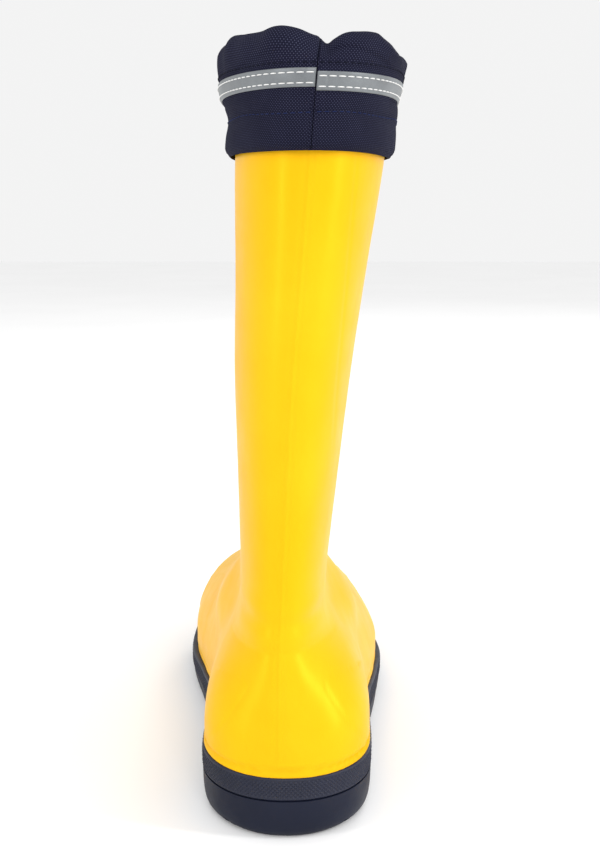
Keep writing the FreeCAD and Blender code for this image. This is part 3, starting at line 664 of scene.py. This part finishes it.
# ---------------------------------------------------------------- sole wall and outsole
def outline(grow, z, count):
    """Sole outline moved outwards by grow, as evenly spaced points at height z, and its length."""
    fine = 6000
    angle = 2 * math.pi * (np.arange(fine) + 0.5) / fine
    low, high = -grow, LENGTH + grow
    y = low + (high - low) * (1 - np.cos(angle)) / 2
    heel = np.maximum(0, (low + HEEL_CAP - y) / HEEL_CAP)
    toe = np.maximum(0, (y - high + TOE_CAP) / TOE_CAP)
    share = np.maximum(0, 1 - heel**HEEL_POWER - toe**TOE_POWER) ** (1 / OVAL)
    held = np.clip(y, 0, LENGTH)
    wide = ((lateral(held) - medial(held)) / 2 + grow) * share
    x = (lateral(held) + medial(held)) / 2 + np.where(angle < math.pi, 1, -1) * wide
    line = np.stack([x, y], 1)
    step = np.linalg.norm(np.roll(line, -1, 0) - line, axis=1)
    run = np.concatenate([[0], np.cumsum(step)])
    wanted = np.linspace(0, run[-1], count, endpoint=False)
    closed = np.concatenate([line, line[:1]])
    x = np.interp(wanted, run, closed[:, 0])
    y = np.interp(wanted, run, closed[:, 1])
    return np.stack([x, y, np.full(count, float(z))], 1), run[-1]


def outline_normals(line):
    """Outward directions of a flat closed line."""
    along = np.roll(line, -1, 0) - np.roll(line, 1, 0)
    out = np.stack([along[:, 1], -along[:, 0], np.zeros(len(line))], 1)
    out /= np.linalg.norm(out, axis=1, keepdims=True)
    centre = line.mean(0)
    if ((line - centre) * out).sum() < 0:
        out = -out
    return out


def build_band():
    """Textured sole wall: ledge, lip, knurled face and the groove under it."""
    count = 2600
    base, girth = outline(0.0, 0.0, count)
    out = outline_normals(base)
    y = np.clip(base[:, 1], 0, LENGTH)
    low, tall = sole_top(y), band(y)
    run = np.arange(count) * girth / count
    pitch = girth / round(girth / 2.0)
    rows = []
    profile = [(-5.5, 0.95), (-3.2, 0.985), (-1.6, 1.0), (-0.7, 1.0), (-0.25, 0.985), (-0.02, 0.95)]
    profile += [(0.0, 0.92)]
    profile += [(0.0, 0.90 - 0.76 * step / 26) for step in range(1, 27)]
    profile += [(0.0, 0.115), (-0.1, 0.09), (-0.45, 0.06), (-0.95, 0.02), (-1.0, -0.01), (-3.0, -0.012)]
    for grow, share in profile:
        rise = share * tall
        face = smooth(0.11, 0.16, share) * smooth(0.92, 0.87, share)
        leaning_right = np.abs(((run + rise) / pitch % 1.0 - 0.5) * 2)
        leaning_left = np.abs(((run - rise) / pitch % 1.0 - 0.5) * 2)
        knurl = (np.minimum(1 - leaning_right, 1 - leaning_left) * 0.9 - 0.45) * face
        point = base + out * (grow + knurl)[:, None]
        point[:, 2] = low + rise
        rows.append(point)
    obj = grid_object("foxing_band_look", np.array(rows[::-1]))
    dress(obj, KNURL)
    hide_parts("foxing_band")
    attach(obj, "boot")


build_band()
dress_node("outsole", NAVY)


# ---------------------------------------------------------------- inside of the boot
def build_lining():
    """Textile lining: its inner face, which shows from above, and its thickness at the rim."""
    toe, fan, tall, around = (24, 40, 60, 96)
    inner = ring_grid(LINING_FACE, toe, fan, tall, around, RIM)
    outer = ring_grid(LINING_BACK, 2, 2, 30, around, RIM)[-28:][::-1]
    grid = np.concatenate([inner, outer])
    obj = grid_object("lining_sock_look", grid, flip=True, girth=0.40)
    dress(obj, LINING)
    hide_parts("lining_sock")
    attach(obj, "boot")


build_lining()
dress_node("toe_puff", STIFF)
dress_node("heel_counter", STIFF)
dress_node("insole_board", BOARD)
dress_node("footbed_foam", FOAM)


def oval(turn):
    """Sideways and lengthways reach of the shaft's oval at a turn, each from -1 to 1."""
    c, s = np.cos(turn), np.sin(turn)
    return np.sign(c) * np.abs(c) ** (2 / OVAL), np.sign(s) * np.abs(s) ** (2 / OVAL)


def shaft_point(turn, z, grow):
    """Points around the shaft, grow outside its face."""
    across, along = oval(turn)
    x = lean(z) + (half(z) + grow) * across
    y = (front(z) + back(z)) / 2 + ((front(z) - back(z)) / 2 + grow) * along
    return np.stack([x, y, z], -1)


def shaft_ring(grow, z, count):
    """Oval ring of points around the shaft at one height, grow outside its face."""
    turn = np.arange(count) * 2 * math.pi / count - math.pi / 2
    return shaft_point(turn, np.full(count, float(z)), grow)


def build_binding():
    """Cloth binding folded over the rubber's top edge."""
    profile = [(0.02, 322.0), (0.45, 322.0), (0.62, 322.6), (0.62, 326.0), (0.62, 329.0), (0.45, 330.2),
               (-0.2, 330.75), (-2.2, 330.85), (-4.0, 330.7), (-4.6, 330.0), (-4.75, 327.0), (-4.75, 322.3),
               (-4.4, 322.0), (-4.1, 322.2)]
    grid = np.array([shaft_ring(grow, z, 180) for grow, z in profile])
    obj = grid_object("rim_binding_look", grid, girth=0.38)
    dress(obj, BINDING)
    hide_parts("shaft_rim_binding")
    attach(obj, "boot")


build_binding()


# ---------------------------------------------------------------- gaiter
AROUND = 960

# The gaiter's oval, measured along its girth.
MEAN_HALF_WIDTH = 41.0
MEAN_HALF_DEPTH = 84.4
TURNS = np.linspace(-math.pi / 2, 3 * math.pi / 2, 7201)
OVAL_X = MEAN_HALF_WIDTH * oval(TURNS)[0]
OVAL_Y = MEAN_HALF_DEPTH * oval(TURNS)[1]
LENGTHS = np.concatenate([[0.0], np.cumsum(np.hypot(np.diff(OVAL_X), np.diff(OVAL_Y)))])
GIRTH = LENGTHS[-1]


def crowded(share):
    """Shares around the gaiter, moved closer together at the back seam."""
    return share - 0.8 * np.sin(2 * math.pi * share) / (2 * math.pi)


SHARES = crowded(np.arange(AROUND) / AROUND)

# Rise of the hem's upper edge against the length around from the back seam.
EDGE = curve((-210, -120, -95, -75, -58, -44, -28, -15.5, -9.3, -3, -1, 3.6,
              6, 9.5, 18, 24, 28, 31, 37, 47, 62, 90, 130, 210),
             (-0.8, -2.0, -0.8, 0.6, 2.2, 1.4, 1.0, 1.7, 0.4, -2.0, -2.5, -5.1,
              -3.6, -1.7, -0.4, 0.0, -0.3, -1.4, -2.9, -4.4, -4.4, -3.0, -1.6, -0.8))


def turn_at(angle):
    """Turn of the oval for an even measure around it; angle goes from 0 to 2 pi."""
    share = (np.asarray(angle, float) / (2 * math.pi)) % 1.0
    return np.interp(share * GIRTH, LENGTHS, TURNS)


def around_run(angle):
    """Length around the gaiter from the back seam, negative on the inner side, in millimetres."""
    run = (np.asarray(angle) / (2 * math.pi)) % 1.0 * GIRTH
    return np.where(run > GIRTH / 2, run - GIRTH, run)


def gaiter_point(angle, z, grow):
    """Point of the gaiter's outer cloth, with its folds. Angle 0 is the back seam."""
    angle = np.asarray(angle, float)
    z = np.asarray(z, float)
    across, along = oval(turn_at(angle))
    side = sleeve_half(np.clip(z, 298, 349))
    run = around_run(angle)
    top = smooth(331.0, 343.0, z)
    low = smooth(321.0, 303.0, z)
    spot = np.stack([np.cos(angle) * 60, np.sin(angle) * 60, z * 0.55], -1)
    # gathers above the tape, and soft folds below it
    folds = 0.9 * waves(spot, 26.0, 11, 6) * top
    folds += 0.75 * waves(spot * np.array([1, 1, 0.35]), 15.0, 12, 6) * top
    folds += 0.3 * waves(spot, 30.0, 13, 6) + 0.4 * waves(spot, 24.0, 14, 6) * low
    folds += -2.6 * bell(run, 3.2, 4.5) * top - 0.5 * bell(run, 0.0, 6.0) * smooth(301, 306, z)
    folds += 1.1 * bell(run, -22.0, 12.0) * top + 1.3 * bell(run, 22.0, 10.0) * top
    folds += (1.8 * bell(run, -62.0, 20.0) + 1.3 * bell(run, 34.0, 12.0)) * top
    # two slanting creases in the hem, either side of the seam
    crease = 341.5 - 0.22 * (run - 4.0)
    folds -= 0.9 * bell(z, crease, 1.1) * smooth(2.0, 8.0, run) * smooth(46.0, 30.0, run)
    crease = 338.5 + 0.16 * (run + 12.0)
    folds -= 0.6 * bell(z, crease, 1.2) * smooth(-6.0, -14.0, run) * smooth(-52.0, -36.0, run)
    # the tape holds the cloth flatter, and the tuck is drawn in by its stitches
    tape = smooth(322.4, 323.6, z) * smooth(332.2, 331.0, z)
    folds = folds * (1 - 0.6 * tape)
    folds += (1.2 * bell(run, -92.0, 40.0) - 2.8 * bell(run, 90.0, 40.0)) * smooth(316, 326, z)
    tuck = smooth(78, 46, np.abs(run + 2.0)) * (0.75 + 0.25 * np.sin(run * 0.9) * np.sin(run * 0.23))
    folds -= 0.55 * bell(z, TUCK + 0.35 * np.sin(run * 0.11), 0.8) * tuck
    folds += 0.3 * bell(z, TUCK + 2.2, 1.6) * tuck
    folds -= 0.45 * bell(z, 322.2, 0.8) + 0.4 * bell(z, 332.2, 0.9)
    # the back seam's groove and the two turned edges beside it
    folds -= 0.85 * bell(run, 0.0, 0.32)
    folds += 0.28 * smooth(0.1, 0.7, run) * smooth(4.6, 3.6, run)
    folds += 0.14 * smooth(-0.1, -0.7, run) * smooth(-4.6, -3.6, run)
    width = side + grow + folds
    x = lean(z) + width * across
    y = (front(z) + back(z)) / 2 + (width + REACH_OVER) * along
    return np.stack([x, y, z], -1), run


def gaiter_grid(profile):
    """Grid from (grow, height) pairs; the top edge's waviness grows above the tape."""
    angle = SHARES * 2 * math.pi
    rows = []
    for grow, z in profile:
        level = np.full(AROUND, float(z))
        point, run = gaiter_point(angle, level, grow)
        lift = smooth(334.0, 346.0, level)
        spot = np.stack([np.cos(angle) * 60, np.sin(angle) * 60, angle * 0], -1)
        edge = EDGE(run) + 0.35 * waves(spot, 17.0, 22, 6) * (0.35 + 0.65 * smooth(50, 80, np.abs(run)))
        edge = edge + 1.0 * waves(spot, 34.0, 21, 6) * smooth(50, 90, np.abs(run))
        low_edge = 0.25 * waves(spot, 60.0, 23, 4) + 0.6 * bell(run, -8.0, 34.0) - 1.0 * bell(run, 62.0, 32.0)
        point[:, 2] += edge * lift + low_edge * smooth(306.0, 299.0, level)
        rows.append(point)
    return np.array(rows)


def build_gaiter():
    """Gaiter sleeve from its fold to the hem line, and the gathered hem tunnel."""
    foot_edge = 300.7
    steps = 56
    outer = [(-1.3, foot_edge), (-0.7, 301.3), (-0.3, 302.2), (0.0, SLEEVE_FOOT)]
    outer += [(0.0, SLEEVE_FOOT + (SLEEVE_TOP - SLEEVE_FOOT) * step / steps) for step in range(1, steps + 1)]
    outer = gaiter_grid(outer)
    turn = turn_at(SHARES * 2 * math.pi)
    # the fold curls in under the sleeve's foot, towards the shaft
    curl = ((1.0, 304.2), (0.99, 302.6), (0.93, 301.0), (0.8, 300.1), (0.62, 299.7), (0.42, 299.8),
            (0.2, 300.15))
    lip = []
    for share, z in curl:
        near = shaft_point(turn, np.full(AROUND, z), 1.7)
        row = outer[0] + (near - outer[0]) * share
        row[:, 2] = z + outer[0][:, 2] - foot_edge
        lip.append(row)
    sleeve = np.concatenate([np.array(lip), outer])
    obj = grid_object("gaiter_sleeve_look", sleeve, girth=0.42, shares=SHARES)
    dress(obj, CLOTH)
    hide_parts("gaiter_sleeve")
    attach(obj, "gaiter")
    # the hem's tunnel goes up, over and down inside
    roll = [(0.0, SLEEVE_TOP + 7.0 * step / 14) for step in range(15)]
    roll += [(-0.3, 343.2), (-0.8, 344.5), (-1.6, 345.7), (-2.6, 346.4), (-3.7, 346.6), (-4.8, 346.2),
             (-5.6, 345.2), (-6.0, 343.8), (-6.1, 342.0), (-5.9, 340.0), (-5.4, 338.0), (-4.9, 336.4),
             (-4.4, 335.2), (-3.6, 334.6)]
    hem = gaiter_grid(roll)
    piece = grid_object("gaiter_hem_look", hem, girth=0.42, shares=SHARES, start=0.042)
    dress(piece, CLOTH)
    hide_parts("gaiter_hem")
    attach(piece, "gaiter")


build_gaiter()


# The tape's two ends don't quite meet: one stands this much lower, the other this much higher.
TAPE_SLIP = 0.7


def build_tape():
    """Reflective tape around the gaiter, its ends meeting at the back seam."""
    gap = 0.25 / GIRTH
    share = crowded(np.arange(AROUND) / (AROUND - 1))
    angle = 2 * math.pi * (gap + (1 - 2 * gap) * share)
    slip = -TAPE_SLIP + 2 * TAPE_SLIP * smooth(0.0, 1.0, share)
    profile = ((0.02, TAPE_LOW), (0.42, TAPE_LOW), (0.56, TAPE_LOW + 0.25), (0.58, TAPE_LOW + 1.0),
               (0.50, LOW_STITCH), (0.58, TAPE_LOW + 2.0), (0.60, TAPE_LOW + 3.6),
               (0.58, TAPE_HIGH - 2.3), (0.50, HIGH_STITCH), (0.58, TAPE_HIGH - 1.3),
               (0.56, TAPE_HIGH - 0.25), (0.42, TAPE_HIGH), (0.02, TAPE_HIGH))
    grid = np.array([gaiter_point(angle, z + slip, grow)[0] for grow, z in profile])
    row_count, cols = grid.shape[:2]
    faces = list(grid_faces(row_count, cols, False))
    faces.append(np.arange(row_count) * cols)
    faces.append((np.arange(row_count) * cols + cols - 1)[::-1])
    obj = make_object("reflective_tape_look", grid.reshape(-1, 3), faces)
    dress(obj, TAPE)
    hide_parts("reflective_tape")
    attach(obj, "gaiter")


build_tape()


def build_eyelets():
    """Two pressed metal eyelets for the hem's cord, on the front of the gaiter."""
    points, faces = [], []
    profile = ((1.25, -0.9), (1.3, 0.1), (1.7, 0.5), (2.2, 0.55), (2.7, 0.35), (2.95, -0.05), (2.95, -0.6))
    sides = 40
    for offset in (-14.0, 14.0):
        angle = 2 * math.pi * (0.5 + offset / GIRTH)
        levels = np.array([EYELET_HEIGHT, EYELET_HEIGHT, EYELET_HEIGHT + 1.0])
        spot = gaiter_point(np.array([angle, angle + 0.02, angle]), levels, 0.15)[0]
        right = (spot[1] - spot[0]) / np.linalg.norm(spot[1] - spot[0])
        up = spot[2] - spot[0]
        up -= right * up.dot(right)
        up /= np.linalg.norm(up)
        out = np.cross(right, up)
        if out[1] < 0:
            out = -out
        start = len(points)
        for radius, lift in profile:
            for j in range(sides):
                a = 2 * math.pi * j / sides
                around = (right * math.cos(a) + up * math.sin(a)) * radius
                points.append(spot[0] + around + out * (lift + 0.1))
        faces += tube_faces(start, len(profile), sides)
        faces.append([start + j for j in range(sides)])
    obj = make_object("hem_eyelets_look", np.array(points), faces)
    dress(obj, METAL)
    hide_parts("hem_eyelets")
    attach(obj, "gaiter")


build_eyelets()


def stitches(name, cad_name, mat, body, place_at, number, length, thick):
    """Row of separate stitches, each an arched thread that dips into the cloth at its ends.

    place_at(share) gives points on the cloth; length is the share of each pitch that shows.
    """
    rng = np.random.default_rng(len(name))
    points, faces = [], []
    sides = 6
    parts = np.array([-0.5, -0.25, 0.0, 0.25, 0.5])
    bow = np.array([-0.35, 0.18, 0.32, 0.18, -0.35]) * thick
    widths = np.array([0.30, 0.46, 0.50, 0.46, 0.30]) * thick
    rings = len(parts)
    for count in range(number):
        middle = (count + 0.5) / number
        span = length / number * rng.uniform(0.94, 1.04)
        line = place_at(middle + span * parts)
        first, last = line[0], line[-1]
        run = (last - first) / max(np.linalg.norm(last - first), 1e-9)
        centre = place_at(np.array([middle]))[0]
        out = centre - np.array([float(lean(centre[2])), SHAFT_MIDDLE, centre[2]])
        out[2] = 0
        out -= run * out.dot(run)
        out /= np.linalg.norm(out)
        up = np.cross(run, out)
        start = len(points)
        for k in range(rings):
            for j in range(sides):
                a = 2 * math.pi * j / sides
                outwards = out * (bow[k] + widths[k] * 0.85 * math.sin(a))
                points.append(line[k] + outwards + up * widths[k] * math.cos(a))
        faces += tube_faces(start, rings, sides)
        faces.append([start + j for j in range(sides)][::-1])
        faces.append([start + (rings - 1) * sides + j for j in range(sides)])
    obj = make_object(name, np.array(points), faces)
    dress(obj, mat)
    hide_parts(cad_name)
    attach(obj, body)


def row_angle(share):
    """Angle of a row's share: a row starts and ends just short of the back seam."""
    return (0.0015 + 0.997 * np.asarray(share)) * 2 * math.pi


def on_tape(z):
    """Line along the tape, which climbs as the tape does."""

    def at(share):
        level = z + TAPE_SLIP * (smooth(0.0, 1.0, share) * 2 - 1)
        return gaiter_point(row_angle(share), level, 0.66)[0]

    return at


stitches("tape_stitches_lower_look", "tape_stitches_lower", WHITE, "gaiter",
         on_tape(LOW_STITCH), 106, 0.76, 0.55)
stitches("tape_stitches_upper_look", "tape_stitches_upper", WHITE, "gaiter",
         on_tape(HIGH_STITCH), 106, 0.76, 0.55)


def tuck_line(share):
    """Line of the tuck stitches, in the crease of the cloth."""
    angle = row_angle(share)
    level = TUCK + 0.35 * np.sin(around_run(angle) * 0.11)
    return gaiter_point(angle, level, 0.05)[0]


stitches("tuck_stitches_look", "tuck_stitches", BLUE, "gaiter", tuck_line, 120, 0.7, 0.42)


def hem_line(share):
    """Line of the hem stitches, which follows the gathered cloth."""
    angle = np.asarray(share) * 2 * math.pi
    return gaiter_point(angle, np.full(len(angle), HEM_STITCH), 0.12)[0]


def attachment_line(share):
    """Line of the hidden stitches that hold the gaiter to the rim."""
    count = 3600
    ring = shaft_ring(1.65, 326.0, count)
    return np.array([ring[int(part * count) % count] for part in share])


stitches("hem_stitches_look", "hem_stitches", DARK, "gaiter", hem_line, 130, 0.72, 0.45)
stitches("attachment_stitches_look", "attachment_stitches", DARK, "boot",
         attachment_line, 110, 0.7, 0.4)


def build_seam():
    """Closed seam down the back of the gaiter: two soft lips with a groove between them."""
    levels = np.linspace(301.6, 334.8, 90)
    offsets = np.array([-1.6, -1.45, -1.1, -0.7, -0.4, -0.2, -0.05, 0.0, 0.05, 0.2, 0.4, 0.7, 1.1, 1.45, 1.6])
    lifts = np.array([-0.3, 0.05, 0.14, 0.18, 0.18, 0.04, -0.3, -0.34,
                      -0.3, 0.1, 0.3, 0.26, 0.16, 0.05, -0.3])
    angle = offsets / GIRTH * 2 * math.pi
    beside = np.sign(offsets) * 1.0 / GIRTH * 2 * math.pi
    rows = []
    for z in levels:
        under_tape = float(smooth(322.8, 323.3, z) * smooth(331.7, 331.2, z))
        level = np.full(len(angle), z)
        point = gaiter_point(angle, level, 0.0)[0]
        flat = gaiter_point(beside, level, 0.0)[0]
        point[:, 1] = np.where(np.abs(offsets) < 1.0, flat[:, 1], point[:, 1])
        out = point - np.array([float(lean(z)), SHAFT_MIDDLE, z])
        out[:, 2] = 0
        out /= np.linalg.norm(out, axis=1, keepdims=True)
        rows.append(point + out * (lifts - 0.7 * under_tape)[:, None])
    grid = np.array(rows)
    row_count, cols = grid.shape[:2]
    i = np.repeat(np.arange(row_count - 1), cols - 1)
    j = np.tile(np.arange(cols - 1), row_count - 1)
    v = (levels - 294.0) / 1000.0
    u = offsets / 1000.0
    corners = [np.stack([u[j + b], v[i + a]], 1) for a, b in ((0, 0), (0, 1), (1, 1), (1, 0))]
    faces = grid_faces(row_count, cols, False)
    obj = make_object("gaiter_seam_look", grid.reshape(-1, 3), faces, np.stack(corners, 1))
    dress(obj, CLOTH)
    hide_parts("gaiter_back_seam")
    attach(obj, "gaiter")


build_seam()


def build_underlayer():
    """Hidden layer of the gaiter, sewn on at the rim; it stands further off the shaft towards its foot."""
    rings = 30
    rows = []
    for step in range(rings):
        share = step / (rings - 1)
        z = UNDER_TOP - share * (UNDER_TOP - UNDER_LOW)
        rows.append(shaft_ring(0.85 + 1.1 * share, z, 240))
    obj = grid_object("gaiter_underlayer_look", np.array(rows[::-1]), girth=0.40)
    dress(obj, CLOTH)
    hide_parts("gaiter_underlayer")
    middle_x = float(lean(UNDER_TOP))
    middle_y = 78.7
    top = place(np.array([middle_x, middle_y, UNDER_TOP]))
    low = place(np.array([middle_x, middle_y, UNDER_LOW]))
    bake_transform(obj)


build_underlayer()


def build_footbed_cover():
    """Footbed's textile cover with a shallow heel cup and a rounded edge."""
    line, _ = outline(-FOOTBED_INSET, 0.0, 260)
    profile = ((1.0, -0.9), (1.0, -0.2), (0.992, 0.05), (0.97, 0.1), (0.9, 0.0), (0.8, -0.1), (0.65, -0.15),
               (0.5, -0.2), (0.35, -0.2), (0.2, -0.2), (0.08, -0.2))
    rows = []
    for share, lift in profile:
        ring = line.copy()
        spine = np.clip(ring[:, 1], 60, 240)
        mid = np.stack([(medial(spine) + lateral(spine)) / 2, spine, spine * 0], 1)
        ring = mid + (ring - mid) * share
        y = np.clip(ring[:, 1], 0, LENGTH)
        ring[:, 2] = sole_top(y) + FOOTBED_TOP + lift + 0.05 * waves(ring, 14.0, 31)
        rows.append(ring)
    grid = np.array(rows)
    cols = grid.shape[1]
    faces = list(grid_faces(len(rows), cols, True))
    last = (len(rows) - 1) * cols
    for j in range(cols // 2 - 1):
        faces.append((last + j, last + j + 1, last + cols - 2 - j, last + cols - 1 - j))
    points = grid.reshape(-1, 3)
    uv = np.array([points[index, :2] / 1000.0 for face in faces for index in face])
    obj = make_object("footbed_cover_look", points, faces, uv)
    dress(obj, FOOTBED)
    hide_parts("footbed_cover")
    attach(obj, "footbed")


build_footbed_cover()

# ---------------------------------------------------------------- floor, light and camera
FLOOR_REACH = 6
floor_mesh = bpy.data.meshes.new("floor")
corners = [(-1, -1), (1, -1), (1, 1), (-1, 1)]
floor_mesh.from_pydata([(x * FLOOR_REACH, y * FLOOR_REACH, 0) for x, y in corners], [], [(0, 1, 2, 3)])
floor = bpy.data.objects.new("floor", floor_mesh)
bpy.context.scene.collection.objects.link(floor)


def floor_look(tree, node, shader):
    """Pale studio floor."""
    coords = node("TexCoord").outputs["Object"]
    tint = noise_at(tree, node, coords, 3.0)
    colour = ramp(tree, node, tint, [(0.3, (0.95, 0.95, 0.95)), (0.7, (0.97, 0.97, 0.97))])
    join(tree, colour, shader.inputs["Base Color"])
    shader.inputs["Roughness"].default_value = 0.9
    shader.inputs["Specular IOR Level"].default_value = 0.1


floor_mesh.materials.append(material("floor_look", floor_look))


def soft_light(name, where, aim, size_x, size_y, energy):
    """Rectangular white softbox."""
    data = bpy.data.lights.new(name, "AREA")
    data.shape = "RECTANGLE"
    data.size = size_x
    data.size_y = size_y
    data.energy = energy
    obj = bpy.data.objects.new(name, data)
    obj.location = where
    obj.rotation_euler = (Vector(aim) - Vector(where)).to_track_quat("-Z", "Y").to_euler()
    bpy.context.scene.collection.objects.link(obj)


soft_light("front", (0.15, -2.0, 1.3), (0, 0, 0.2), 1.2, 1.2, 17)
soft_light("left_strip", (-1.75, -0.95, 0.9), (0, 0, 0.2), 0.25, 1.6, 11)
soft_light("right_strip", (1.85, -0.55, 0.9), (0, 0, 0.2), 0.25, 1.6, 19)
soft_light("far_side", (0.9, 2.0, 1.6), (0, 0, 0.15), 0.7, 0.7, 9)
world = bpy.data.worlds.new("studio")
world.use_nodes = True
world.node_tree.nodes["Background"].inputs[0].default_value = (1, 1, 1, 1)
world.node_tree.nodes["Background"].inputs[1].default_value = 0.90
bpy.context.scene.world = world
bpy.context.scene.view_settings.view_transform = "Standard"

camera_data = bpy.data.cameras.new("camera")
camera_data.sensor_width = 36.0
camera_data.lens = 52.0833333
camera_data.clip_end = 50.0
CAMERA_SPOT = (6.05, -515.0, 277.0)
CAMERA_DIP = 0.177
camera = bpy.data.objects.new("camera", camera_data)
camera.location = tuple(place(np.array(CAMERA_SPOT)))
camera.rotation_euler = (math.pi / 2 - CAMERA_DIP, 0, 0)
bpy.context.scene.collection.objects.link(camera)
bpy.context.scene.camera = camera
